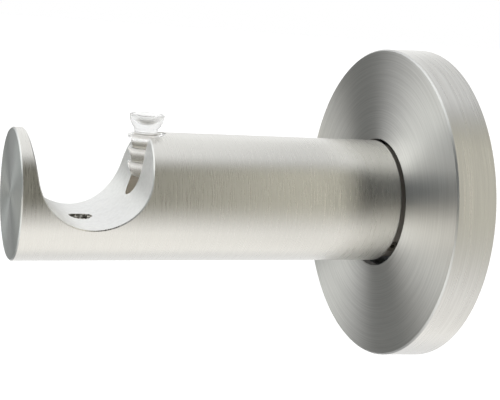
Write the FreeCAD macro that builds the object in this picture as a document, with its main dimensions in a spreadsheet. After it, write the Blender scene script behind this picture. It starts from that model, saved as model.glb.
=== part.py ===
import FreeCAD, Part
import math
import os
import Sketcher

# Curtain pole bracket for a wall, in millimetres.
# The wall is the plane y = 0, the arm runs out from it along -Y and +Z is up.
# The pole lies along X in the saddle near the arm's front end.

SIZES = {
    # Arm: a turned solid bar with a saddle cut across it.
    "projection": 84,           # wall to the arm's front face
    "arm_dia": 25,
    "arm_edge": 0.25,           # broken edge at both ends of the bar
    "foot_step": 0.8,           # rear end turned down by this, on the radius
    "shoulder_gap": 0.45,       # the step's shoulder in front of the cover
    # Saddle, open at the top.
    "pole_dia": 20,
    "saddle_clearance": 0.6,    # between the pole and the saddle, on the radius
    "pole_setback": 13.6,       # pole's axis behind the arm's front face
    "pole_rise": 6.4,           # pole's axis above the arm's axis
    "mouth_lean": 8,            # degrees by which the saddle's walls lean out
    "saddle_edge": 0.2,         # broken edge where the saddle meets the bar's surface
    # Wall plate with a stub that carries the arm.
    "plate_thickness": 2.5,
    "plate_edge": 0.4,
    "stub_dia": 14,
    "stub_length": 12,
    "stub_clearance": 0.05,     # stub in the arm's bore, on the radius
    "stub_edge": 0.8,
    "bore_relief": 1.2,         # the arm's bore runs this much deeper than the stub
    "vee_depth": 1.2,           # groove round the stub for the grub screw's cone
    "wall_screw_circle": 40,
    "wall_screw_count": 3,
    "wall_screw_hole": 4.6,
    "wall_screw_head": 9,
    # Cover: a shallow turned cup that hides the plate and hangs on its rim.
    "cover_dia": 63.8,          # at the wall
    "cover_taper": 0.25,        # the front is smaller by this, on the radius
    "cover_depth": 8,
    "cover_wall": 1.8,          # thickness of the front
    "cover_skirt": 2,           # thickness of the side at the wall
    "cover_gap": 0.75,          # between the arm and the cover's bore, on the radius
    "cover_edge": 0.3,
    "cover_clearance": 0.4,     # between the plate's rim and the cover's skirt
    # Set screw under the pole, screwed up from the arm's underside.
    "set_thread": 4.48,         # thread drawn plain at its pitch diameter
    "set_recess": 0.7,          # tip below the saddle's floor
    "set_sink": 1.6,            # driven end above the arm's underside
    "set_point": 0.6,           # bevel round the tip
    "set_key": 2.5,             # hexagon across its flats
    "set_key_depth": 2.6,
    "set_lead": 0.4,            # bevel at the mouth of the tapped hole
    # Grub screw that clamps the arm on the stub.
    "grub_thread": 3.54,        # thread drawn plain at its pitch diameter
    "grub_sink": 0.5,           # driven end below the foot's surface
    "grub_tip": 0.5,            # radius of the flat on the cone's end
    "grub_key": 2,
    "grub_key_depth": 2,
    "grub_setback": 4.6,        # screw's axis in front of the arm's rear face
    "grub_turn": 132,           # degrees round the arm from straight up
    # Clear plug pressed in behind the saddle, breaking through its rear wall.
    "plug_setback": 11.8,       # plug's axis behind the pole's axis
    "plug_hole": 6.2,
    "plug_hole_depth": 13.2,
    "plug_seat_dia": 7.6,
    "plug_seat_depth": 1.2,
    "plug_flange_dia": 7.1,
    "plug_flange_thickness": 0.85,
    "plug_neck_dia": 4.5,
    "plug_neck_height": 2.0,    # top of the neck above the flange's seat
    "plug_head_dia": 6.7,
    "plug_head_height": 4.7,
    "plug_cup_dia": 5.2,
    "plug_cup_floor": 3.6,
    "plug_cup_depth": 1.3,
    "plug_rib_fit": 0,          # rib to the wall of its hole, on the radius
    "plug_rib_edge": 0.45,      # height of a rib's rim
    "plug_rib_drop": 1.8,       # flange's seat to the first free rib
    "plug_rib_pitch": 2.7,
    "plug_rib_count": 3,
    "plug_core_dia": 4.7,
    # Drawing allowances.
    "cut_over": 1,              # a cut starts this far outside the metal
    "drill_point": 30,          # degrees between a drilled floor's cone and the level
    "screw_edge": 0.3,          # bevel at the driven end of a small screw
}


doc = FreeCAD.newDocument("pole_bracket")
sheet = doc.addObject("Spreadsheet::Sheet", "Sizes")
for row, (name, value) in enumerate(SIZES.items(), start=1):
    sheet.set("A%d" % row, name)
    sheet.set("B%d" % row, str(value))
    sheet.setAlias("B%d" % row, name)
doc.recompute()


def new_body(name):
    """Start one sub-part as a body with its own label."""
    body = doc.addObject("PartDesign::Body", name)
    body.Label = name
    return body


def origin_of(body, role):
    """Return one of the body's own origin planes or axes."""
    for feature in body.Origin.OriginFeatures:
        if feature.Role == role:
            return feature
    raise ValueError(role)


def new_sketch(body, role, name, shift=None):
    """Attach a sketch to an origin plane; shift holds expressions for its offset."""
    sketch = body.newObject("Sketcher::SketchObject", name)
    sketch.AttachmentSupport = (origin_of(body, role), "")
    sketch.MapMode = "FlatFace"
    for axis, text in (shift or {}).items():
        sketch.setExpression("AttachmentOffset.Base.%s" % axis, text)
    return sketch


def bind(sketch, index, name, text):
    """Name a dimension and tie it to the sheet."""
    sketch.renameConstraint(index, name)
    sketch.setExpression("Constraints.%s" % name, text)


def place_point(sketch, edge, end, name, across, up):
    """Hold the end of an edge at a place given by two expressions."""
    for kind, text, axis in (("DistanceX", across, -2), ("DistanceY", up, -1)):
        if text == "0":
            sketch.addConstraint(Sketcher.Constraint("PointOnObject", edge, end, axis))
        else:
            value = sketch.evalExpression(text)
            index = sketch.addConstraint(Sketcher.Constraint(kind, -1, 1, edge, end, value))
            bind(sketch, index, "%s_%s" % (name, kind[-1].lower()), text)


def arc_between(start, end, radius, turn):
    """Arc from start to end, bulging to the left (turn 1) or right (turn -1) of the way."""
    chord = end - start
    middle = (start + end) * 0.5
    left = FreeCAD.Vector(-chord.y, chord.x, 0).normalize()
    rise = math.sqrt(radius * radius - chord.Length * chord.Length / 4)
    centre = middle - left * rise * turn
    top = centre + left * radius * turn
    return Part.Arc(start, top, end)


def outline(sketch, corners):
    """Draw a closed outline.

    Each corner is (across, up) or (across, up, radius, turn): with the last two,
    the way to the next corner is an arc, else it is a straight line.
    """
    places = []
    for corner in corners:
        across = sketch.evalExpression(corner[0])
        up = sketch.evalExpression(corner[1])
        places.append(FreeCAD.Vector(across, up, 0))
    count = len(corners)
    for i, corner in enumerate(corners):
        start = places[i]
        end = places[(i + 1) % count]
        if len(corner) == 4:
            radius = sketch.evalExpression(corner[2])
            shape = arc_between(start, end, radius, corner[3])
            sketch.addGeometry(shape)
        else:
            sketch.addGeometry(Part.LineSegment(start, end))
    # An arc always runs counter-clockwise, so its ends can be the other way round.
    firsts = []
    lasts = []
    for i, corner in enumerate(corners):
        begins = sketch.getPoint(i, 1)
        forward = begins.distanceToPoint(places[i]) < 1e-6
        firsts.append(1 if forward else 2)
        lasts.append(2 if forward else 1)
    for i, corner in enumerate(corners):
        follow = (i + 1) % count
        sketch.addConstraint(Sketcher.Constraint("Coincident", i, lasts[i], follow, firsts[follow]))
        place_point(sketch, i, firsts[i], "corner%d" % i, corner[0], corner[1])
        if len(corner) == 4:
            radius = sketch.evalExpression(corner[2])
            index = sketch.addConstraint(Sketcher.Constraint("Radius", i, radius))
            bind(sketch, index, "round%d" % i, corner[2])


def hexagon(sketch, flats):
    """Draw a hexagon about the sketch's origin, given across its flats."""
    corner = sketch.evalExpression(flats) / math.sqrt(3)
    points = []
    for k in range(6):
        angle = math.radians(60 * k)
        points.append(FreeCAD.Vector(corner * math.cos(angle), corner * math.sin(angle), 0))
    for k in range(6):
        sketch.addGeometry(Part.LineSegment(points[k], points[(k + 1) % 6]))
    ring = sketch.addGeometry(Part.Circle(FreeCAD.Vector(0, 0, 0), FreeCAD.Vector(0, 0, 1), corner), True)
    sketch.addConstraint(Sketcher.Constraint("Coincident", ring, 3, -1, 1))
    for k in range(6):
        sketch.addConstraint(Sketcher.Constraint("Coincident", k, 2, (k + 1) % 6, 1))
        sketch.addConstraint(Sketcher.Constraint("PointOnObject", k, 1, ring))
    for k in range(1, 6):
        sketch.addConstraint(Sketcher.Constraint("Equal", 0, k))
    sketch.addConstraint(Sketcher.Constraint("PointOnObject", 0, 1, -1))
    index = sketch.addConstraint(Sketcher.Constraint("Radius", ring, corner))
    bind(sketch, index, "corner_radius", "%s / sqrt(3)" % flats)


def revolve(body, sketch, axis, name):
    """Turn a profile into solid about one of its sketch's axes."""
    feature = body.newObject("PartDesign::Revolution", name)
    feature.Profile = sketch
    feature.ReferenceAxis = (sketch, [axis])
    feature.Angle = 360
    doc.recompute()
    return feature


def must_cut(body, before, name):
    """Stop if a cut took nothing away."""
    after = body.Shape.Volume
    if not after < before - 1e-3:
        raise RuntimeError("%s cuts nothing" % name)


def turned_cut(body, sketch, axis, name):
    """Cut a turned hole whose profile lies in the sketch."""
    before = body.Shape.Volume
    feature = body.newObject("PartDesign::Groove", name)
    feature.Profile = sketch
    feature.ReferenceAxis = (sketch, [axis])
    feature.Angle = 360
    doc.recompute()
    must_cut(body, before, name)
    return feature


def socket_cut(body, sketch, depth, upward, name):
    """Cut a blind socket from the sketch's plane."""
    before = body.Shape.Volume
    feature = body.newObject("PartDesign::Pocket", name)
    feature.Profile = sketch
    feature.Reversed = upward
    feature.setExpression("Length", depth)
    doc.recompute()
    must_cut(body, before, name)
    return feature


# Sizes that follow from the others, as expressions.
ARM_R = "(Sizes.arm_dia / 2)"
ARM_LENGTH = "(Sizes.projection - Sizes.plate_thickness)"
FOOT_R = "(Sizes.arm_dia / 2 - Sizes.foot_step)"
FOOT_LENGTH = "(Sizes.cover_depth - Sizes.plate_thickness + Sizes.shoulder_gap)"
STUB_R = "(Sizes.stub_dia / 2)"
STUB_BORE_R = "(Sizes.stub_dia / 2 + Sizes.stub_clearance)"
STUB_BORE_DEPTH = "(Sizes.stub_length + Sizes.bore_relief)"
SADDLE_R = "(Sizes.pole_dia / 2 + Sizes.saddle_clearance)"
POLE_AT = "(%s - Sizes.pole_setback)" % ARM_LENGTH
PLUG_AT = "(%s - Sizes.plug_setback)" % POLE_AT
SKIRT_R = "(Sizes.cover_dia / 2 - Sizes.cover_skirt)"
PLATE_R = "(%s - Sizes.cover_clearance)" % SKIRT_R
COVER_BORE_R = "(%s + Sizes.cover_gap)" % ARM_R
COVER_FRONT_R = "(Sizes.cover_dia / 2 - Sizes.cover_taper)"
SET_R = "(Sizes.set_thread / 2)"
SET_TIP = "(Sizes.pole_rise - %s - Sizes.set_recess)" % SADDLE_R
SET_LENGTH = "(%s + %s - Sizes.set_sink)" % (SET_TIP, ARM_R)
GRUB_R = "(Sizes.grub_thread / 2)"
RIB_R = "(Sizes.plug_hole / 2 - Sizes.plug_rib_fit)"


# Arm. Its own frame has the rear face at y = 0, where it stands on the plate. Its foot
# is turned down, so that a dark ring shows between the bar's end and the cover.
arm = new_body("arm")
arm.setExpression("Placement.Base.y", "-Sizes.plate_thickness")

bar_profile = new_sketch(arm, "YZ_Plane", "bar_profile")
outline(bar_profile, [
    ("0", STUB_BORE_R + " + Sizes.arm_edge"),
    ("0", FOOT_R + " - Sizes.arm_edge"),
    ("-Sizes.arm_edge", FOOT_R),
    ("-%s" % FOOT_LENGTH, FOOT_R),
    ("-%s" % FOOT_LENGTH, ARM_R + " - Sizes.arm_edge"),
    ("-%s - Sizes.arm_edge" % FOOT_LENGTH, ARM_R),
    ("-%s + Sizes.arm_edge" % ARM_LENGTH, ARM_R),
    ("-%s" % ARM_LENGTH, ARM_R + " - Sizes.arm_edge"),
    ("-%s" % ARM_LENGTH, "0"),
    ("-%s - %s * tan(Sizes.drill_point * 1deg)" % (STUB_BORE_DEPTH, STUB_BORE_R), "0"),
    ("-%s" % STUB_BORE_DEPTH, STUB_BORE_R),
    ("-Sizes.arm_edge", STUB_BORE_R),
])
revolve(arm, bar_profile, "H_Axis", "bar")

# The saddle: a round floor a little larger than the pole, with walls that run on
# from it, leaning out, and an open top.
saddle_profile = new_sketch(arm, "YZ_Plane", "saddle_profile")
pole_y = -saddle_profile.evalExpression(POLE_AT)
pole_z = saddle_profile.evalExpression("Sizes.pole_rise")
floor_r = saddle_profile.evalExpression(SADDLE_R)
lean = math.radians(SIZES["mouth_lean"])
mouth_z = saddle_profile.evalExpression(ARM_R + " + Sizes.cut_over")
pole_centre = FreeCAD.Vector(pole_y, pole_z, 0)
front_foot = pole_centre + FreeCAD.Vector(-math.cos(lean), -math.sin(lean), 0) * floor_r
rear_foot = pole_centre + FreeCAD.Vector(math.cos(lean), -math.sin(lean), 0) * floor_r
wall_run = (mouth_z - front_foot.y) * math.tan(lean)
front_mouth = FreeCAD.Vector(front_foot.x - wall_run, mouth_z, 0)
rear_mouth = FreeCAD.Vector(rear_foot.x + wall_run, mouth_z, 0)
lowest = pole_centre - FreeCAD.Vector(0, floor_r, 0)
saddle_floor = saddle_profile.addGeometry(Part.Arc(front_foot, lowest, rear_foot))
front_wall = saddle_profile.addGeometry(Part.LineSegment(front_mouth, front_foot))
rear_wall = saddle_profile.addGeometry(Part.LineSegment(rear_foot, rear_mouth))
mouth = saddle_profile.addGeometry(Part.LineSegment(rear_mouth, front_mouth))
saddle_profile.addConstraint([
    Sketcher.Constraint("Tangent", front_wall, 2, saddle_floor, 1),
    Sketcher.Constraint("Tangent", saddle_floor, 2, rear_wall, 1),
    Sketcher.Constraint("Coincident", rear_wall, 2, mouth, 1),
    Sketcher.Constraint("Coincident", mouth, 2, front_wall, 1),
    Sketcher.Constraint("Horizontal", mouth),
    Sketcher.Constraint("Equal", front_wall, rear_wall),
])
index = saddle_profile.addConstraint(Sketcher.Constraint("Radius", saddle_floor, floor_r))
bind(saddle_profile, index, "floor_radius", SADDLE_R)
index = saddle_profile.addConstraint(Sketcher.Constraint("DistanceX", saddle_floor, 3, -1, 1, -pole_y))
bind(saddle_profile, index, "pole_out", POLE_AT)
index = saddle_profile.addConstraint(Sketcher.Constraint("DistanceY", -1, 1, saddle_floor, 3, pole_z))
bind(saddle_profile, index, "pole_up", "Sizes.pole_rise")
index = saddle_profile.addConstraint(Sketcher.Constraint("DistanceY", -1, 1, mouth, 1, mouth_z))
bind(saddle_profile, index, "mouth_height", ARM_R + " + Sizes.cut_over")
index = saddle_profile.addConstraint(Sketcher.Constraint("Angle", -1, 1, rear_wall, 1, math.pi / 2 - lean))
bind(saddle_profile, index, "rear_lean", "90deg - Sizes.mouth_lean * 1deg")
doc.recompute()

whole = arm.Shape.Volume
saddle = arm.newObject("PartDesign::Pocket", "saddle")
saddle.Profile = saddle_profile
saddle.SideType = "Symmetric"
saddle.setExpression("Length", "Sizes.arm_dia + 2 * Sizes.cut_over")
doc.recompute()
must_cut(arm, whole, "saddle")

# The sharp rims where the saddle runs out through the bar's surface are broken.
saddle_rims = []
for number, edge in enumerate(arm.Shape.Edges, start=1):
    middle = edge.valueAt((edge.FirstParameter + edge.LastParameter) / 2)
    on_surface = abs(math.hypot(middle.x, middle.z) - SIZES["arm_dia"] / 2) < 1e-3
    straight = isinstance(edge.Curve, Part.Line)
    round_bar = isinstance(edge.Curve, Part.Circle)
    if on_surface and not straight and not round_bar:
        saddle_rims.append("Edge%d" % number)
sharp = arm.Shape.Volume
rims = arm.newObject("PartDesign::Chamfer", "saddle_rims")
rims.Base = (saddle, saddle_rims)
rims.setExpression("Size", "Sizes.saddle_edge")
doc.recompute()
must_cut(arm, sharp, "saddle_rims")

# The plug's hole stands so close behind the saddle that it opens its rear wall as a
# slot, which narrows to a point where the round floor draws away from the hole.
plug_bore = new_sketch(arm, "YZ_Plane", "plug_bore_profile", {"x": "-%s" % PLUG_AT})
outline(plug_bore, [
    ("0", ARM_R + " + Sizes.cut_over"),
    ("0", ARM_R + " - Sizes.plug_hole_depth - Sizes.plug_hole / 2 * tan(Sizes.drill_point * 1deg)"),
    ("Sizes.plug_hole / 2", ARM_R + " - Sizes.plug_hole_depth"),
    ("Sizes.plug_hole / 2", ARM_R + " - Sizes.plug_seat_depth"),
    ("Sizes.plug_seat_dia / 2", ARM_R + " - Sizes.plug_seat_depth"),
    ("Sizes.plug_seat_dia / 2", ARM_R + " + Sizes.cut_over"),
])
turned_cut(arm, plug_bore, "V_Axis", "plug_bore")

# Tapped hole for the set screw, from the underside up into the saddle's floor.
set_bore = new_sketch(arm, "YZ_Plane", "set_bore_profile", {"x": "-%s" % POLE_AT})
outline(set_bore, [
    ("0", "-%s - Sizes.cut_over" % ARM_R),
    (SET_R + " + Sizes.set_lead + Sizes.cut_over", "-%s - Sizes.cut_over" % ARM_R),
    (SET_R, "-%s + Sizes.set_lead" % ARM_R),
    (SET_R, "Sizes.pole_rise - %s + Sizes.cut_over" % SADDLE_R),
    ("0", "Sizes.pole_rise - %s + Sizes.cut_over" % SADDLE_R),
])
turned_cut(arm, set_bore, "V_Axis", "set_bore")

# Tapped hole for the grub screw, square to the bar, from its bore to its surface.
grub_bore = new_sketch(arm, "XY_Plane", "grub_bore_profile", {"y": "-Sizes.grub_setback"})
grub_bore.AttachmentOffset = FreeCAD.Placement(
    FreeCAD.Vector(0, 0, 0), FreeCAD.Rotation(FreeCAD.Vector(0, 1, 0), SIZES["grub_turn"]))
grub_bore.setExpression("AttachmentOffset.Rotation.Angle", "Sizes.grub_turn * 1deg")
ring = grub_bore.addGeometry(Part.Circle(FreeCAD.Vector(0, 0, 0), FreeCAD.Vector(0, 0, 1), 1))
grub_bore.addConstraint(Sketcher.Constraint("Coincident", ring, 3, -1, 1))
index = grub_bore.addConstraint(Sketcher.Constraint("Radius", ring, SIZES["grub_thread"] / 2))
bind(grub_bore, index, "thread_radius", GRUB_R)
socket_cut(arm, grub_bore, ARM_R + " + Sizes.cut_over", True, "grub_bore")


# Wall plate and stub in one piece, its back on the wall.
plate = new_body("wall_plate")
plate_profile = new_sketch(plate, "YZ_Plane", "plate_profile")
VEE_AT = "(Sizes.plate_thickness + Sizes.grub_setback)"
STUB_END = "(Sizes.plate_thickness + Sizes.stub_length)"
outline(plate_profile, [
    ("0", "0"),
    ("0", PLATE_R),
    ("-Sizes.plate_thickness + Sizes.plate_edge", PLATE_R),
    ("-Sizes.plate_thickness", PLATE_R + " - Sizes.plate_edge"),
    ("-Sizes.plate_thickness", STUB_R),
    ("-%s + Sizes.vee_depth" % VEE_AT, STUB_R),
    ("-%s" % VEE_AT, STUB_R + " - Sizes.vee_depth"),
    ("-%s - Sizes.vee_depth" % VEE_AT, STUB_R),
    ("-%s + Sizes.stub_edge" % STUB_END, STUB_R),
    ("-%s" % STUB_END, STUB_R + " - Sizes.stub_edge"),
    ("-%s" % STUB_END, "0"),
])
revolve(plate, plate_profile, "H_Axis", "plate_and_stub")

# Countersunk wall screw holes round the stub.
screw_profile = new_sketch(plate, "YZ_Plane", "wall_screw_profile", {"y": "Sizes.wall_screw_circle / 2"})
outline(screw_profile, [
    ("Sizes.cut_over", "0"),
    ("Sizes.cut_over", "Sizes.wall_screw_hole / 2"),
    ("-Sizes.plate_thickness + (Sizes.wall_screw_head - Sizes.wall_screw_hole) / 2",
     "Sizes.wall_screw_hole / 2"),
    ("-Sizes.plate_thickness", "Sizes.wall_screw_head / 2"),
    ("-Sizes.plate_thickness - Sizes.cut_over", "Sizes.wall_screw_head / 2"),
    ("-Sizes.plate_thickness - Sizes.cut_over", "0"),
])
first_hole = turned_cut(plate, screw_profile, "H_Axis", "wall_screw_hole")
one_hole = plate.Shape.Volume
holes = plate.newObject("PartDesign::PolarPattern", "wall_screw_holes")
holes.Originals = [first_hole]
holes.Axis = (origin_of(plate, "Y_Axis"), [""])
holes.Angle = 360
holes.setExpression("Occurrences", "Sizes.wall_screw_count")
plate.Tip = holes
doc.recompute()
must_cut(plate, one_hole, "wall_screw_holes")


# Cover. It hangs on the plate's rim, so it sits low by the clearance there.
cover = new_body("cover")
cover.setExpression("Placement.Base.z", "-Sizes.cover_clearance")
cover_profile = new_sketch(cover, "YZ_Plane", "cover_profile")
outline(cover_profile, [
    ("0", SKIRT_R),
    ("0", "Sizes.cover_dia / 2"),
    ("-Sizes.cover_depth + Sizes.cover_edge", COVER_FRONT_R),
    ("-Sizes.cover_depth", COVER_FRONT_R + " - Sizes.cover_edge"),
    ("-Sizes.cover_depth", COVER_BORE_R),
    ("-Sizes.cover_depth + Sizes.cover_wall", COVER_BORE_R),
    ("-Sizes.cover_depth + Sizes.cover_wall", SKIRT_R),
])
revolve(cover, cover_profile, "H_Axis", "cover_cup")


# Set screw, tip up. Its own frame has the tip at the origin.
set_screw = new_body("set_screw")
set_screw.setExpression("Placement.Base.y", "-Sizes.plate_thickness - %s" % POLE_AT)
set_screw.setExpression("Placement.Base.z", SET_TIP)
set_profile = new_sketch(set_screw, "YZ_Plane", "set_profile")
outline(set_profile, [
    ("0", "0"),
    (SET_R + " - Sizes.set_point", "0"),
    (SET_R, "-Sizes.set_point"),
    (SET_R, "-%s + Sizes.screw_edge" % SET_LENGTH),
    (SET_R + " - Sizes.screw_edge", "-%s" % SET_LENGTH),
    ("0", "-%s" % SET_LENGTH),
])
revolve(set_screw, set_profile, "V_Axis", "set_shank")
set_socket = new_sketch(set_screw, "XY_Plane", "set_socket_outline", {"z": "-%s" % SET_LENGTH})
hexagon(set_socket, "Sizes.set_key")
socket_cut(set_screw, set_socket, "Sizes.set_key_depth", True, "set_socket")


# Grub screw, its cone in the stub's groove. Its own frame has the cone's apex at the
# origin and runs outward along Z.
grub = new_body("grub_screw")
GRUB_FOOT = "(Sizes.stub_dia / 2 - Sizes.vee_depth)"
GRUB_LENGTH = "(%s - %s - Sizes.grub_sink)" % (FOOT_R, GRUB_FOOT)
grub.Placement = FreeCAD.Placement(
    FreeCAD.Vector(0, 0, 0), FreeCAD.Rotation(FreeCAD.Vector(0, 1, 0), SIZES["grub_turn"]))
grub.setExpression("Placement.Rotation.Angle", "Sizes.grub_turn * 1deg")
grub.setExpression("Placement.Base.x", "%s * sin(Sizes.grub_turn * 1deg)" % GRUB_FOOT)
grub.setExpression("Placement.Base.y", "-%s" % VEE_AT)
grub.setExpression("Placement.Base.z", "%s * cos(Sizes.grub_turn * 1deg)" % GRUB_FOOT)
grub_profile = new_sketch(grub, "YZ_Plane", "grub_profile")
outline(grub_profile, [
    ("0", "Sizes.grub_tip"),
    ("Sizes.grub_tip", "Sizes.grub_tip"),
    (GRUB_R, GRUB_R),
    (GRUB_R, GRUB_LENGTH + " - Sizes.screw_edge"),
    (GRUB_R + " - Sizes.screw_edge", GRUB_LENGTH),
    ("0", GRUB_LENGTH),
])
revolve(grub, grub_profile, "V_Axis", "grub_shank")
grub_socket = new_sketch(grub, "XY_Plane", "grub_socket_outline", {"z": GRUB_LENGTH})
hexagon(grub_socket, "Sizes.grub_key")
socket_cut(grub, grub_socket, "Sizes.grub_key_depth", False, "grub_socket")


# Clear plug. Its own frame has the underside of the flange at z = 0.
plug = new_body("pole_plug")
plug.setExpression("Placement.Base.y", "-Sizes.plate_thickness - %s" % PLUG_AT)
plug.setExpression("Placement.Base.z", ARM_R + " - Sizes.plug_seat_depth")
plug_profile = new_sketch(plug, "YZ_Plane", "plug_profile")
NECK_R = "(Sizes.plug_neck_dia / 2)"
HEAD_R = "(Sizes.plug_head_dia / 2)"
BOWL_RISE = "(Sizes.plug_head_height - Sizes.plug_neck_height)"
BOWL_OUT = "((Sizes.plug_head_dia - Sizes.plug_neck_dia) / 2)"
BOWL_R = "((%s * %s + %s * %s) / (2 * %s))" % (BOWL_RISE, BOWL_RISE, BOWL_OUT, BOWL_OUT, BOWL_OUT)
outline(plug_profile, [
    ("0", "0"),
    ("Sizes.plug_flange_dia / 2 - Sizes.plug_flange_thickness / 4", "0"),
    ("Sizes.plug_flange_dia / 2", "Sizes.plug_flange_thickness / 3"),
    ("Sizes.plug_flange_dia / 2", "Sizes.plug_flange_thickness"),
    (NECK_R + " + Sizes.plug_flange_thickness / 3", "Sizes.plug_flange_thickness"),
    (NECK_R, "Sizes.plug_flange_thickness * 4 / 3"),
    (NECK_R, "Sizes.plug_neck_height", BOWL_R, -1),
    (HEAD_R, "Sizes.plug_head_height"),
    ("Sizes.plug_cup_dia / 2", "Sizes.plug_head_height"),
    ("Sizes.plug_cup_floor / 2", "Sizes.plug_head_height - Sizes.plug_cup_depth"),
    ("0", "Sizes.plug_head_height - Sizes.plug_cup_depth"),
])
revolve(plug, plug_profile, "V_Axis", "plug_head")

# Ribs down the shank, each a rim over a cone that narrows to the next one.
rib_profile = new_sketch(plug, "YZ_Plane", "rib_profile", {"y": "Sizes.plug_rib_pitch - Sizes.plug_rib_drop"})
outline(rib_profile, [
    ("0", "0"),
    (RIB_R, "0"),
    (RIB_R, "-Sizes.plug_rib_edge"),
    ("Sizes.plug_core_dia / 2", "-Sizes.plug_rib_pitch"),
    ("0", "-Sizes.plug_rib_pitch"),
])
rib = revolve(plug, rib_profile, "V_Axis", "plug_rib")
one_rib = plug.Shape.Volume
ribs = plug.newObject("PartDesign::LinearPattern", "plug_ribs")
ribs.Originals = [rib]
ribs.Direction = (origin_of(plug, "Z_Axis"), [""])
ribs.Reversed = True
ribs.setExpression("Length", "Sizes.plug_rib_pitch * (Sizes.plug_rib_count - 1)")
ribs.setExpression("Occurrences", "Sizes.plug_rib_count")
plug.Tip = ribs
doc.recompute()
if not plug.Shape.Volume > one_rib + 1e-3:
    raise RuntimeError("the ribs add nothing")


for item in doc.Objects:
    for state in ("Invalid", "Error"):
        if state in item.State:
            raise RuntimeError("%s is %s" % (item.Name, item.State))

os.makedirs("parts", exist_ok=True)
for body in (arm, plate, cover, set_screw, grub, plug):
    shape = body.Shape
    if shape.isNull() or not shape.isValid() or len(shape.Solids) != 1:
        raise RuntimeError("%s has no sound solid" % body.Label)
    shape.exportStep("parts/%s.step" % body.Label)
    print(body.Label, round(shape.Volume, 3), shape.BoundBox)
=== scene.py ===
import bmesh
import bpy
import math
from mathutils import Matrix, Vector


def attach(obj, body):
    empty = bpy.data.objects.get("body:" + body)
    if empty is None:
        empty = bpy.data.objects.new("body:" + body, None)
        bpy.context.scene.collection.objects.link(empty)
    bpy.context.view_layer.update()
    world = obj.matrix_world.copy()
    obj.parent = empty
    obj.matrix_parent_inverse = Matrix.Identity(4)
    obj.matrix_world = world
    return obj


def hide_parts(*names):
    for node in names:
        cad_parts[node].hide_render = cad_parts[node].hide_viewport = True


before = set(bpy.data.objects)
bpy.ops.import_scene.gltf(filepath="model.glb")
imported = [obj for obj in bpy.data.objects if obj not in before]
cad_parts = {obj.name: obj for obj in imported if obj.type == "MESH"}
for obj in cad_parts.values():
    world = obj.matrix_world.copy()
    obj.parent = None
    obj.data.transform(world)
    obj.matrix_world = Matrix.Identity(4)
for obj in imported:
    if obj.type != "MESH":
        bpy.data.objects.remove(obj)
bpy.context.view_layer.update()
scene = bpy.context.scene

MM = 0.001

# Where things are on the bracket, in millimetres in the frame of the part.
BAR_R = 12.5
BAR_FRONT = -84.0
SADDLE_BACK = -54.0
SHOULDER_Y = -8.44
POLE_Y = -70.4
PLUG_Y = -58.6
PLUG_HOLE_R = 3.1
FLANGE_Z = 11.3
SET_HOLE_R = 2.24
SET_TIP_Z = -4.9
COVER_Z = -0.4


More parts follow.
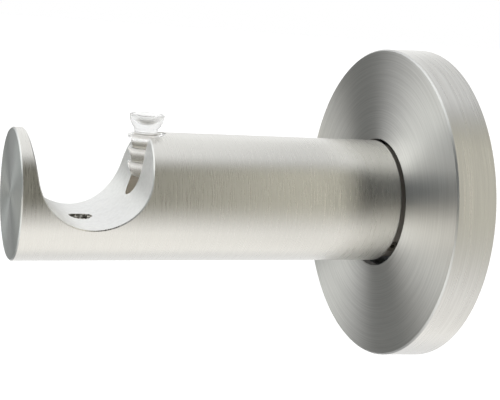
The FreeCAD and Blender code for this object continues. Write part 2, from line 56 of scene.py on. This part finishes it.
class Graph:
    """Places nodes in a node tree and wires them up."""

    def __init__(self, tree):
        self.tree = tree

    def add(self, kind, *sources, **settings):
        """Add a node; each source feeds the input in its place, as a value or an output."""
        node = self.tree.nodes.new(kind)
        for name, value in settings.items():
            setattr(node, name, value)
        for place, source in enumerate(sources):
            if source is not None:
                self.feed(source, node.inputs[place])
        return node

    def feed(self, source, socket):
        if isinstance(source, bpy.types.NodeSocket):
            self.tree.links.new(source, socket)
        else:
            socket.default_value = source

    def fill(self, node, **sources):
        """Feed a node's inputs by name, with _ for a space; return its outputs."""
        for name, source in sources.items():
            self.feed(source, node.inputs[name.replace("_", " ")])
        return node.outputs

    def make(self, kind, **sources):
        """Add a node and feed its inputs by name; return its first output."""
        return self.fill(self.add(kind), **sources)[0]

    def group(self, tree, **sources):
        """Add a node group and feed its inputs by name; return its outputs."""
        return self.fill(self.add("ShaderNodeGroup", node_tree=tree), **sources)

    def math(self, operation, *sources):
        return self.add("ShaderNodeMath", *sources, operation=operation).outputs[0]

    def plus(self, first, second):
        return self.math("ADD", first, second)

    def minus(self, first, second):
        return self.math("SUBTRACT", first, second)

    def times(self, first, second):
        return self.math("MULTIPLY", first, second)

    def larger(self, first, second):
        return self.math("MAXIMUM", first, second)

    def over(self, value, limit):
        """One where the value is over the limit."""
        return self.math("GREATER_THAN", value, limit)

    def under(self, value, limit):
        """One where the value is under the limit."""
        return self.math("LESS_THAN", value, limit)

    def rest_of(self, mask):
        """One where the mask is nothing."""
        return self.minus(1.0, mask)

    def toward(self, value, other, share):
        """Go from one value toward another by a share of the way."""
        return self.plus(value, self.times(share, self.minus(other, value)))

    def span(self, value, start, end, low=0.0, high=1.0):
        """Ease from low at start to high at end."""
        return self.add("ShaderNodeMapRange", value, start, end, low, high,
                        interpolation_type="SMOOTHSTEP").outputs[0]

    def fade(self, value, start, end):
        """Ease from one at start to nothing at end."""
        return self.span(value, start, end, 1.0, 0.0)

    def between(self, value, start, full, last, end):
        """One between full and last, easing to nothing at start and end."""
        return self.times(self.span(value, start, full), self.fade(value, last, end))

    def mix(self, factor, first, second, kind="RGBA"):
        """Mix two colours, or two directions where kind is VECTOR."""
        node = self.add("ShaderNodeMix", data_type=kind)
        self.feed(factor, node.inputs["Factor"])
        for source, name in ((first, "A"), (second, "B")):
            if kind == "RGBA" and isinstance(source, tuple):
                source = source + (1.0,)
            self.feed(source, [s for s in node.inputs if s.name == name and s.type == kind][0])
        return [s for s in node.outputs if s.type == kind][0]

    def vector(self, x, y, z):
        return self.add("ShaderNodeCombineXYZ", x, y, z).outputs[0]

    def parts(self, vector):
        return self.add("ShaderNodeSeparateXYZ", vector).outputs

    def place(self):
        """The surface point on the piece, in metres."""
        return self.add("ShaderNodeTexCoord").outputs["Object"]

    def facing(self):
        """How far the surface faces along the bar, forward or back: one on a flat end."""
        normal = self.add("ShaderNodeNewGeometry").outputs["True Normal"]
        return self.math("ABSOLUTE", self.parts(normal)[1])

    def away(self, first, second):
        """Distance from an axis, from the two coordinates square to it."""
        return self.math("SQRT", self.plus(self.times(first, first), self.times(second, second)))

    def from_upright(self, x, y, middle):
        """Distance from an upright axis that crosses the bar's at middle, in millimetres."""
        return self.away(x, self.minus(y, middle * MM))

    def noise(self, vector, scale, detail, roughness=0.5):
        outputs = self.fill(self.add("ShaderNodeTexNoise"), Vector=vector, Scale=scale,
                            Detail=detail, Roughness=roughness)
        return outputs["Fac"]

    def drawn_noise(self, lengths, scales, roughness=0.5):
        """Noise with a scale of its own for each of three lengths."""
        where = self.vector(*[self.times(a, b) for a, b in zip(lengths, scales)])
        return self.noise(where, 1.0, 2.0, roughness)


def shader_group(name, inputs, outputs):
    """Start a shader node group; return it with its graph and its two end nodes."""
    group = bpy.data.node_groups.new(name, "ShaderNodeTree")
    for label, value in inputs:
        socket = group.interface.new_socket(
            label, in_out="INPUT", socket_type="NodeSocketFloat")
        socket.default_value = value
    for label in outputs:
        group.interface.new_socket(label, in_out="OUTPUT", socket_type="NodeSocketFloat")
    graph = Graph(group)
    return group, graph, graph.add("NodeGroupInput").outputs, graph.add("NodeGroupOutput").inputs


def new_material(name):
    """A new material; return it with its graph and the inputs of its shader."""
    material = bpy.data.materials.new(name)
    material.use_nodes = True
    material.node_tree.nodes.clear()
    graph = Graph(material.node_tree)
    shader = graph.add("ShaderNodeBsdfPrincipled")
    end = graph.add("ShaderNodeOutputMaterial")
    graph.feed(shader.outputs[0], end.inputs["Surface"])
    return material, graph, shader.inputs


def new_object(name, data):
    """A new object, linked to the scene."""
    made = bpy.data.objects.new(name, data)
    scene.collection.objects.link(made)
    return made


# ---- Marks of turning and brushing round the axis of the bar and of the cover ----

# A surface that faces along the axis by more than the first is a flat end, and by more than the
# second a broken edge.
FLAT_FACING = 0.8
EDGE_FACING = 0.35
# Streaks across the marks and breaks along them, for each metre. The drift is a slower change
# of its own, with this share of both.
COVER_STREAKS, COVER_BREAKS = 3600.0, 60.0
BAR_STREAKS, BAR_BREAKS = 5500.0, 180.0
DRIFT_STREAKS, DRIFT_BREAKS = 0.3, 0.4

turned_marks, g, given, result = shader_group(
    "turned marks",
    [("Centre height", 0.0), ("Streaks per metre", COVER_STREAKS),
     ("Breaks per metre", COVER_BREAKS)],
    ["Streak", "Drift", "Height", "Face", "Edge"])
x, y, z = g.parts(g.place())
z = g.minus(z, given["Centre height"])
facing = g.facing()
face = g.over(facing, FLAT_FACING)
edge = g.times(g.over(facing, EDGE_FACING), g.under(facing, FLAT_FACING))
# Streaks follow each other outward on a flat end and along the axis elsewhere.
across = g.plus(g.times(face, g.away(x, z)), g.times(g.rest_of(face), y))
streaks, breaks = given["Streaks per metre"], given["Breaks per metre"]
streak = g.drawn_noise((x, across, z), (breaks, streaks, breaks), 0.6)
slow_streaks, slow_breaks = g.times(streaks, DRIFT_STREAKS), g.times(breaks, DRIFT_BREAKS)
drift = g.drawn_noise((x, across, z), (slow_breaks, slow_streaks, slow_breaks))
for source, name in ((g.span(streak, 0.25, 0.75), "Streak"), (g.span(drift, 0.25, 0.75), "Drift"),
                     (streak, "Height"), (face, "Face"), (edge, "Edge")):
    g.feed(source, result[name])


# ---- Materials ----

# Depth of the marks and of the grain, in millimetres.
RELIEF_DEPTH = 0.02
# How much the drift of the marks tints the metal, and its share in the wander of the roughness.
DRIFT_TINT, DRIFT_WANDER = 0.1, 0.15
# The broken edge's own colour is a painted highlight along the chamfer.
EDGE_PAINTED_HIGHLIGHT, EDGE_ROUGHNESS = (0.8, 0.8, 0.79), 0.42
COVER_LIGHT, COVER_DARK = (0.86, 0.85, 0.825), (0.74, 0.73, 0.705)
BAR_LIGHT, BAR_DARK = (0.735, 0.724, 0.692), (0.665, 0.655, 0.626)
# A cooler tone painted on the turned front face, a painted reflection, and its share.
FRONT_PAINTED_REFLECTION, FRONT_REFLECTION_SHARE = (0.64, 0.68, 0.68), 0.6
MILLED_DARK, MILLED_LIGHT = (0.93, 0.93, 0.925), (1.0, 1.0, 0.995)
DRILLED_DARK, DRILLED_LIGHT = (0.84, 0.8, 0.74), (1.0, 0.97, 0.92)
# The tapped hole's wall is painted dark in patches, painted shade in the hole, with light patches
# between.
HOLE_PAINTED_SHADE, HOLE_LIGHT_PATCH = (0.2, 0.19, 0.17), (1.0, 0.98, 0.94)
# Painted shade: the foot in the gap round the bar is painted a darker brown.
FOOT_PAINTED_SHADE = (0.66, 0.62, 0.57)
STEEL_GRAIN, STEEL_SMOOTH, STEEL_ROUGH = 1500.0, 0.3, 0.43
PLATED_LIGHT, PLATED_DARK = (0.66, 0.67, 0.69), (0.5, 0.51, 0.54)
SCREW_LIGHT, SCREW_DARK = (0.95, 0.92, 0.87), (0.3, 0.28, 0.26)
CLEAR_DARK, CLEAR_LIGHT = (0.95, 0.955, 0.96), (0.99, 0.99, 0.99)
# Painted shade on the plug's shank between the ribs.
CORE_PAINTED_SHADE = (0.5, 0.49, 0.44)
# A painted glow over the plug's body, strongest at its rims.
BODY_PAINTED_GLOW, RIM_PAINTED_GLOW = (0.25, 0.25, 0.25), (1.0, 1.0, 1.0)


def relief(graph, height, strength):
    """A bump from a height between nothing and one."""
    return graph.make("ShaderNodeBump", Strength=strength, Height=height,
                      Distance=RELIEF_DEPTH * MM)


def across_marks(graph, centre):
    """Direction square to the marks: outward on a flat end, along the axis elsewhere."""
    x, _, z = graph.parts(graph.place())
    z = graph.minus(z, centre)
    face = graph.over(graph.facing(), FLAT_FACING)
    pull = graph.vector(graph.times(x, face), graph.rest_of(face), graph.times(z, face))
    return graph.add("ShaderNodeVectorMath", pull, operation="NORMALIZE").outputs[0]


def turned_metal(name, centre, light, dark, streaks, breaks, spread, side_rough, face_rough,
                 wander):
    """Metal brushed round its axis: spread draws its highlights out across the marks, and wander
    is how much the roughness changes between streaks. Returns the material, its graph, the inputs
    of its shader and the look that wire() feeds to them."""
    material, graph, finish = new_material(name)
    marks = graph.group(turned_marks, Centre_height=centre, Streaks_per_metre=streaks,
                        Breaks_per_metre=breaks)
    colour = graph.mix(marks["Streak"], dark, light)
    colour = graph.mix(graph.times(marks["Drift"], DRIFT_TINT), colour, dark)
    # The broken edge takes a colour of its own: a painted highlight along the real chamfer.
    colour = graph.mix(marks["Edge"], colour, EDGE_PAINTED_HIGHLIGHT)
    rough = graph.plus(side_rough, graph.times(marks["Face"], face_rough - side_rough))
    for mark, change in (("Streak", wander), ("Drift", DRIFT_WANDER * wander)):
        rough = graph.plus(rough, graph.times(graph.minus(marks[mark], 0.5), change))
    rough = graph.minus(rough, graph.times(marks["Edge"], side_rough - EDGE_ROUGHNESS))
    finish["Metallic"].default_value = 1.0
    finish["Anisotropic"].default_value = spread
    look = {"colour": colour, "rough": rough, "height": marks["Height"],
            "pull": across_marks(graph, centre)}
    return material, graph, finish, look


def wire(graph, finish, look, bump):
    """Feed a metal's colour, roughness, relief and brushing direction to its shader."""
    graph.feed(look["colour"], finish["Base Color"])
    graph.feed(look["rough"], finish["Roughness"])
    graph.feed(relief(graph, look["height"], bump), finish["Normal"])
    graph.feed(look["pull"], finish["Tangent"])


def plain_metal(name, light, dark, bump):
    """Plated or plain steel with a fine even grain."""
    material, graph, finish = new_material(name)
    speck = graph.noise(graph.place(), STEEL_GRAIN, 4.0, 0.6)
    graph.feed(graph.mix(graph.span(speck, 0.4, 0.6), dark, light), finish["Base Color"])
    graph.feed(graph.span(speck, 0.2, 0.8, STEEL_SMOOTH, STEEL_ROUGH), finish["Roughness"])
    finish["Metallic"].default_value = 1.0
    graph.feed(relief(graph, speck, bump), finish["Normal"])
    return material


brushed_cover, graph, finish, look = turned_metal(
    "brushed_cover", COVER_Z * MM, COVER_LIGHT, COVER_DARK, COVER_STREAKS, COVER_BREAKS,
    spread=1.0, side_rough=0.3, face_rough=0.45, wander=0.07)
wire(graph, finish, look, bump=0.3)

brushed_bar, graph, finish, look = turned_metal(
    "brushed_bar", 0.0, BAR_LIGHT, BAR_DARK, BAR_STREAKS, BAR_BREAKS,
    spread=0.75, side_rough=0.3, face_rough=0.42, wander=0.09)
# The saddle, the holes and the turned-down foot are cut through the brushed skin. The saddle and
# the drilled hole are pale and even; the tapped hole is painted dark in patches and the foot a
# darker brown, both painted shade. The front face and its broken edge keep the skin. In
# millimetres: the skin's depth, where the front's broken edge ends, and how far a hole's look
# reaches past its radius.
SKIN = 0.21
FRONT_EDGE = BAR_FRONT + 0.3
HOLE_EDGE = 0.03
# The grain of the milled metal, of the patches of painted shade in the tapped hole, and the
# drill's marks, for each metre.
MILLED_GRAIN, HOLE_PATCH_GRAIN = 1100.0, 1300.0
DRILL_MARKS = (300.0, 300.0, 2500.0)
# The cut metal's roughness where smoothest and roughest, its relief, and how much less of a
# mirror it is than the skin.
CUT_SMOOTH, CUT_ROUGH, CUT_RELIEF, CUT_DULL = 0.48, 0.56, 0.4, 0.32
x, y, z = graph.parts(graph.place())
by_saddle = graph.between(y, FRONT_EDGE * MM, (FRONT_EDGE + 0.1) * MM,
                          (SADDLE_BACK - 0.1) * MM, SADDLE_BACK * MM)
foot = graph.over(y, SHOULDER_Y * MM)
below_skin = graph.under(graph.away(x, z), (BAR_R - SKIN) * MM)
cut = graph.times(below_skin, graph.larger(by_saddle, foot))
drilled = graph.under(graph.from_upright(x, y, PLUG_Y), (PLUG_HOLE_R + HOLE_EDGE) * MM)
tapped = graph.under(graph.from_upright(x, y, POLE_Y), (SET_HOLE_R + HOLE_EDGE) * MM)
milled = graph.noise(graph.place(), MILLED_GRAIN, 3.0, 0.6)
drill_turns = graph.drawn_noise((x, y, z), DRILL_MARKS)
hole_shade_patches = graph.span(graph.noise(graph.place(), HOLE_PATCH_GRAIN, 3.0), 0.44, 0.56)
cut_colour = graph.mix(graph.span(milled, 0.3, 0.7), MILLED_DARK, MILLED_LIGHT)
cut_colour = graph.mix(drilled, cut_colour, graph.mix(drill_turns, DRILLED_DARK, DRILLED_LIGHT))
# The tapped hole is painted dark in random patches: painted shade in the hole.
cut_colour = graph.mix(tapped, cut_colour, graph.mix(hole_shade_patches, HOLE_PAINTED_SHADE, HOLE_LIGHT_PATCH))
# The foot is painted a darker brown, painted shade in the gap between the bar and the cover.
cut_colour = graph.mix(foot, cut_colour, FOOT_PAINTED_SHADE)
# The turned front face is painted a cooler tone than the brushed bar, a painted reflection of cool
# light.
front = graph.under(y, (BAR_FRONT + 0.1) * MM)
look["colour"] = graph.mix(graph.times(front, FRONT_REFLECTION_SHARE),
                           graph.mix(cut, look["colour"], cut_colour), FRONT_PAINTED_REFLECTION)
cut_rough = graph.span(milled, 0.2, 0.8, CUT_SMOOTH, CUT_ROUGH)
look["rough"] = graph.toward(look["rough"], cut_rough, cut)
look["height"] = graph.toward(look["height"], graph.times(milled, CUT_RELIEF), cut)
look["pull"] = graph.mix(cut, look["pull"], (1.0, 0.0, 0.0), kind="VECTOR")
graph.feed(graph.rest_of(graph.times(cut, CUT_DULL)), finish["Metallic"])
wire(graph, finish, look, bump=0.4)

plated_steel = plain_metal("plated_steel", PLATED_LIGHT, PLATED_DARK, bump=0.2)
screw_steel = plain_metal("screw_steel", SCREW_LIGHT, SCREW_DARK, bump=0.4)

# Where the painted shade of the plug's shank between the ribs fades out and the painted glow of
# its rims sets in, from its axis outward.
CORE_SHADE_FADE, RIM_GLOW_RISE = (2.5 * MM, 3.0 * MM), (2.75 * MM, 3.05 * MM)
CLOUD_GRAIN = 700.0
clear_plastic, graph, finish = new_material("clear_plastic")
cloud = graph.noise(graph.place(), CLOUD_GRAIN, 3.0, 0.55)
x, y, z = graph.parts(graph.place())
away = graph.from_upright(x, y, PLUG_Y)
shank = graph.under(z, (FLANGE_Z - 0.1) * MM)
# The shank between the ribs is painted darker: painted shade.
painted_core_shade = graph.times(shank, graph.fade(away, *CORE_SHADE_FADE))
clear = graph.mix(cloud, CLEAR_DARK, CLEAR_LIGHT)
graph.feed(graph.mix(painted_core_shade, clear, CORE_PAINTED_SHADE), finish["Base Color"])
graph.feed(graph.span(cloud, 0.2, 0.8, 0.1, 0.2), finish["Roughness"])
# A painted glow: the plastic gives off a little light of its own, most of it at the rims of the
# flange and the ribs, as painted highlights.
low = graph.under(z, (FLANGE_Z + 1.0) * MM)
painted_rim_glow = graph.times(low, graph.span(away, *RIM_GLOW_RISE))
graph.feed(graph.mix(painted_rim_glow, BODY_PAINTED_GLOW, RIM_PAINTED_GLOW), finish["Emission Color"])
finish["Emission Strength"].default_value = 0.18
finish["Transmission Weight"].default_value = 0.8
finish["IOR"].default_value = 1.34
graph.feed(relief(graph, cloud, 0.15), finish["Normal"])

finish_of = {
    "arm": brushed_bar,
    "cover": brushed_cover,
    "wall_plate": plated_steel,
    "set_screw": screw_steel,
    "grub_screw": screw_steel,
}
for node, material in finish_of.items():
    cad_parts[node].data.materials[0] = material


# ---- Pieces made by rule: the plug with its ribs, and the turns of a thread ----

def geometry_group(name, inputs):
    """Start a geometry node group with named inputs; return it with its graph and its ends."""
    group = bpy.data.node_groups.new(name, "GeometryNodeTree")
    sockets = group.interface
    sockets.new_socket("Geometry", in_out="INPUT", socket_type="NodeSocketGeometry")
    for label, kind in inputs:
        sockets.new_socket(label, in_out="INPUT", socket_type="NodeSocket" + kind)
    sockets.new_socket("Geometry", in_out="OUTPUT", socket_type="NodeSocketGeometry")
    graph = Graph(group)
    return group, graph, graph.add("NodeGroupInput").outputs, graph.add("NodeGroupOutput").inputs


def finish_group(graph, given, result, geometry):
    """Make real, smooth and give the material: the end of every geometry group here."""
    real = graph.make("GeometryNodeRealizeInstances", Geometry=geometry)
    joined = graph.make("GeometryNodeMergeByDistance", Geometry=real, Distance=0.002 * MM)
    smooth = graph.make("GeometryNodeSetShadeSmooth", Geometry=joined)
    painted = graph.make("GeometryNodeSetMaterial", Geometry=smooth, Material=given["Material"])
    graph.feed(painted, result["Geometry"])


def grow(name, group, start, **sizes):
    """Run a geometry group on a start mesh and keep its result as a plain closed mesh."""
    holder = new_object(name + "_start", start)
    modifier = holder.modifiers.new("shape", "NODES")
    modifier.node_group = group
    named = {item.name: item.identifier for item in group.interface.items_tree
             if item.item_type == "SOCKET" and item.in_out == "INPUT"}
    for label, value in sizes.items():
        modifier[named[label.replace("_", " ")]] = value
    bpy.context.view_layer.update()
    graph = bpy.context.evaluated_depsgraph_get()
    mesh = bpy.data.meshes.new_from_object(holder.evaluated_get(graph))
    holder.modifiers.remove(modifier)
    bpy.data.objects.remove(holder)
    mesh.name = name
    shell = bmesh.new()
    shell.from_mesh(mesh)
    bmesh.ops.recalc_face_normals(shell, faces=shell.faces)
    shell.to_mesh(mesh)
    shell.free()
    return new_object(name, mesh)


def move(piece, y, z):
    """Place a piece's mesh in the frame, in millimetres."""
    for vertex in piece.data.vertices:
        vertex.co += Vector((0.0, y, z)) * MM


ribbed_turning, g, given, result = geometry_group("ribbed turning", [
    ("Rib radius", "Float"), ("Rim height", "Float"), ("Core radius", "Float"),
    ("Rib pitch", "Float"), ("Rib count", "Int"), ("First rib", "Float"), ("Rounding", "Float"),
    ("Segments", "Int"), ("Material", "Material")])
# One rib's outline, then the same again down the shank.
rib_corners = [
    (given["Core radius"], 0.0),
    (given["Rib radius"], 0.0),
    (given["Rib radius"], g.times(given["Rim height"], -1.0)),
    (given["Core radius"], g.times(given["Rib pitch"], -1.0)),
]
corner = g.add("GeometryNodeIndexSwitch", data_type="VECTOR")
while len(corner.index_switch_items) < len(rib_corners):
    corner.index_switch_items.new()
g.feed(g.make("GeometryNodeInputIndex"), corner.inputs["Index"])
for number, (out, up) in enumerate(rib_corners):
    g.feed(g.vector(out, up, 0.0), corner.inputs[str(number)])
steps = g.make("GeometryNodeMeshLine", Count=len(rib_corners))
rib = g.make("GeometryNodeSetPosition", Geometry=steps, Position=corner.outputs[0])
ladder = g.make("GeometryNodeMeshLine", Count=given["Rib count"],
                Start_Location=g.vector(0.0, g.times(given["First rib"], -1.0), 0.0),
                Offset=g.vector(0.0, g.times(given["Rib pitch"], -1.0), 0.0))
ribs = g.make("GeometryNodeInstanceOnPoints", Points=ladder, Instance=rib)
both = g.add("GeometryNodeJoinGeometry")
g.feed(given["Geometry"], both.inputs[0])
g.feed(g.make("GeometryNodeRealizeInstances", Geometry=ribs), both.inputs[0])
line = g.make("GeometryNodeMergeByDistance", Geometry=both.outputs[0], Distance=0.01 * MM)
outline = g.make("GeometryNodeMeshToCurve", Mesh=line)
rounded = g.make("GeometryNodeFilletCurve", Curve=outline, Radius=given["Rounding"],
                 Limit_Radius=True)
# The outline is turned on a circle of one millimetre and shifted in by as much.
circle = g.make("GeometryNodeCurvePrimitiveCircle", Resolution=given["Segments"], Radius=MM)
shifted = g.make("GeometryNodeTransform", Geometry=rounded, Translation=(-MM, 0.0, 0.0),
                 Scale=(1.0, -1.0, 1.0))
turned = g.make("GeometryNodeCurveToMesh", Curve=circle, Profile_Curve=shifted)
finish_group(g, given, result, turned)


def arc(centre, radius, start, end, steps):
    """Points of an arc, its angles in degrees from straight out, turning up."""
    points = []
    for step in range(steps + 1):
        angle = math.radians(start + (end - start) * step / steps)
        points.append((centre[0] + radius * math.cos(angle), centre[1] + radius * math.sin(angle)))
    return points


# The plug's sizes, in millimetres; heights are above the flange's seat. The flange's lower edge
# is broken, and the head is a small bowl on a neck. The ribs join on between the lines of the
# head and of the shank's foot.
CORE_R, SEAT_R, FLANGE_R, FLANGE_TOP = 2.35, 2.95, 3.55, 0.85
EDGE_IN, EDGE_UP = 0.15, 0.25
NECK_FOOT, NECK_MIDDLE, NECK_ROUND = 2.55, (2.65, 1.3), 0.4
BOWL_MIDDLE, BOWL_ROUND = (-0.35, 4.45), 3.7
HEAD_R, HEAD_TOP, LIP_R = 3.35, 4.7, 2.75
CUP_MIDDLE, CUP_ROUND = (0.0, 5.85), 2.95
RIB_R, RIM_HEIGHT, FIRST_RIB, RIB_PITCH, FREE_RIBS = 3.1, 0.5, 1.8, 2.7, 2
SHANK_END = -FIRST_RIB - RIB_PITCH * FREE_RIBS
head_line = [(CORE_R, -FIRST_RIB), (SEAT_R, 0.0), (FLANGE_R - EDGE_IN, 0.0), (FLANGE_R, EDGE_UP),
             (FLANGE_R, FLANGE_TOP), (NECK_FOOT, FLANGE_TOP)]
head_line += arc(NECK_MIDDLE, NECK_ROUND, 250.0, 180.0, 4)
head_line += arc(BOWL_MIDDLE, BOWL_ROUND, -43.0, 0.0, 8)
head_line += [(HEAD_R, HEAD_TOP), (LIP_R, HEAD_TOP)]
head_line += arc(CUP_MIDDLE, CUP_ROUND, -23.0, -90.0, 10)
foot_line = [(CORE_R, SHANK_END), (0.0, SHANK_END)]
edges = [(n, n + 1) for n in range(len(head_line) - 1)] + [(len(head_line), len(head_line) + 1)]
plug_lines = bpy.data.meshes.new("plug_lines")
plug_lines.from_pydata([(a * MM, b * MM, 0.0) for a, b in head_line + foot_line], edges, [])
plug = grow(
    "ribbed_plug", ribbed_turning, plug_lines, Rib_radius=RIB_R * MM, Rim_height=RIM_HEIGHT * MM,
    Core_radius=CORE_R * MM, Rib_pitch=RIB_PITCH * MM, Rib_count=FREE_RIBS,
    First_rib=FIRST_RIB * MM, Rounding=0.1 * MM, Segments=96, Material=clear_plastic)
move(plug, PLUG_Y, FLANGE_Z)
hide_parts("pole_plug")
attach(plug, "root")

thread_turns, g, given, result = geometry_group("thread turns", [
    ("Radius", "Float"), ("Pitch", "Float"), ("Turns", "Float"), ("Ridge", "Float"),
    ("Points per turn", "Int"), ("Material", "Material")])
helix = g.make("GeometryNodeCurveSpiral", Resolution=given["Points per turn"],
               Rotations=given["Turns"], Start_Radius=given["Radius"], End_Radius=given["Radius"],
               Height=g.times(given["Turns"], given["Pitch"]))
vee = g.make("GeometryNodeCurvePrimitiveCircle", Resolution=4, Radius=given["Ridge"])
swept = g.make("GeometryNodeCurveToMesh", Curve=helix, Profile_Curve=vee, Fill_Caps=True)
finish_group(g, given, result, swept)


def turn_ridge(name, finish, radius, pitch, turns, ridge, low):
    """A ridge wound round the set screw's axis, from its low end, in millimetres."""
    start = bpy.data.meshes.new(name + "_empty")
    piece = grow(name, thread_turns, start, Radius=radius * MM, Pitch=pitch * MM, Turns=turns,
                 Ridge=ridge * MM, Points_per_turn=64, Material=finish)
    move(piece, POLE_Y, low)
    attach(piece, "root")


turn_ridge("set_hole_thread", brushed_bar, radius=SET_HOLE_R, pitch=0.8, turns=1.05, ridge=0.2,
           low=-5.16)
turn_ridge("screw_cup_rim", screw_steel, radius=1.3, pitch=0.0, turns=1.0, ridge=0.12,
           low=SET_TIP_Z)


# ---- Floor, light and camera ----

# A plain pale floor far below, where the bracket's shadow is soft and faint.
FLOOR_REACH, FLOOR_Z, FLOOR_GLOW = 6.0, -0.2, 0.6
floor_mesh = bpy.data.meshes.new("floor")
floor_mesh.from_pydata(
    [(a * FLOOR_REACH, b * FLOOR_REACH, FLOOR_Z) for a, b in ((-1, -1), (1, -1), (1, 1), (-1, 1))],
    [], [(0, 1, 2, 3)])
floor = new_object("floor", floor_mesh)
floor.visible_glossy = False
floor.visible_diffuse = False
floor.visible_shadow = False
pale, graph, finish = new_material("pale_floor")
finish["Base Color"].default_value = (0.8, 0.8, 0.8, 1.0)
finish["Roughness"].default_value = 0.9
rays = graph.add("ShaderNodeLightPath").outputs
seen = graph.larger(rays["Is Camera Ray"], rays["Is Transmission Ray"])
finish["Emission Color"].default_value = (1.0, 1.0, 1.0, 1.0)
graph.feed(graph.times(seen, FLOOR_GLOW), finish["Emission Strength"])
floor_mesh.materials.append(pale)

# Soft studio light, where 1 is white.
LIGHT_BELOW = (1.22, 1.205, 1.17)
LIGHT_ABOVE = (1.12, 1.13, 1.13)
LIGHT_ROOM = (1.48, 1.51, 1.47)
LIGHT_BACKDROP = (0.86, 0.86, 0.86)
LIGHT_WALL = (0.05, 0.05, 0.045)
NEAR_SIDE = (1.7, 1.66, 1.43)
NEAR_WALL = (0.8, 0.78, 0.71)
NEAR_DARK = (0.01, 0.01, 0.006)
FAR_DARK = (0.2, 0.205, 0.2)
END_ABOVE = (0.47, 0.505, 0.53)
END_BELOW = (1.35, 1.31, 1.2)

# Where each light lies. Round the arm, angle 0 is level towards the camera's side, 90 straight
# up, 180 the far side and -90 or 270 straight down; along it, -1 is towards the room and 1
# towards the wall. Two numbers are the start and the end of a change, and four are the start and
# end of the rise and of the fall.
ABOVE_ROUND = (0.0, 60.0, 165.0, 180.0)
WALL_ABOVE, WALL_BELOW = (0.42, 0.57), (0.44, 0.7)
ROOM_FALL = (-0.75, -0.4)
NEAR_ROUND, NEAR_TO_SIDE, NEAR_TO_WALL = (-61.0, 6.0, 52.0, 90.0), (0.3, 0.55), (0.5, 0.8)
FAR_ROUND, FAR_FALL = (157.0, 169.0, 234.0, 285.0), (-0.21, 0.1)
BACKDROP_ROUND, BACKDROP_RISE = (150.0, 190.0, 230.0, 265.0), (-0.22, 0.14)
END_ROUND, END_FALL = (-30.0, 20.0, 160.0, 180.0), (-0.98, -0.84)

world = bpy.data.worlds.new("studio")
scene.world = world
world.use_nodes = True
world.node_tree.nodes.clear()
graph = Graph(world.node_tree)
x, y, z = graph.parts(graph.add("ShaderNodeTexCoord").outputs["Generated"])
angle = graph.times(graph.math("ARCTAN2", z, x), 180.0 / math.pi)
whole = graph.math("MODULO", graph.plus(angle, 360.0), 360.0)
above = graph.between(angle, *ABOVE_ROUND)
light = graph.mix(above, LIGHT_BELOW, LIGHT_ABOVE)
toward_wall = graph.plus(graph.times(above, graph.span(y, *WALL_ABOVE)),
                         graph.times(graph.rest_of(above), graph.span(y, *WALL_BELOW)))
light = graph.mix(toward_wall, light, LIGHT_WALL)
light = graph.mix(graph.fade(y, *ROOM_FALL), light, LIGHT_ROOM)
near = graph.mix(graph.span(y, *NEAR_TO_SIDE), NEAR_DARK, NEAR_SIDE)
near = graph.mix(graph.span(y, *NEAR_TO_WALL), near, NEAR_WALL)
light = graph.mix(graph.between(angle, *NEAR_ROUND), light, near)
far = graph.times(graph.between(whole, *FAR_ROUND), graph.fade(y, *FAR_FALL))
light = graph.mix(far, light, FAR_DARK)
backdrop = graph.times(graph.between(whole, *BACKDROP_ROUND), graph.span(y, *BACKDROP_RISE))
light = graph.mix(backdrop, light, LIGHT_BACKDROP)
end = graph.mix(graph.between(angle, *END_ROUND), END_BELOW, END_ABOVE)
light = graph.mix(graph.fade(y, *END_FALL), light, end)
# The background is white to the eye and through the plastic, and the metal sees it white where
# the backdrop stands.
rays = graph.add("ShaderNodeLightPath").outputs
seen = graph.larger(rays["Is Camera Ray"], rays["Is Transmission Ray"])
seen = graph.larger(seen, graph.times(rays["Is Glossy Ray"], backdrop))
sky = graph.mix(seen, light, (1.0, 1.0, 1.0))
back = graph.add("ShaderNodeBackground", sky, 1.0)
graph.feed(back.outputs[0], graph.add("ShaderNodeOutputWorld").inputs["Surface"])

# The camera's place in millimetres and its turn in degrees.
EYE_PLACE = (195.9, -116.75, 40.3)
EYE_TURN = (78.794, -4.705, 71.733)
scene.view_settings.view_transform = "Standard"
eye = bpy.data.cameras.new("camera")
camera = new_object("camera", eye)
scene.camera = camera
camera.location = Vector(EYE_PLACE) * MM
camera.rotation_euler = [math.radians(a) for a in EYE_TURN]
eye.sensor_width = 36.0
eye.lens = 77.25
eye.shift_x = 0.12
eye.clip_start = 0.01
eye.clip_end = 50.0
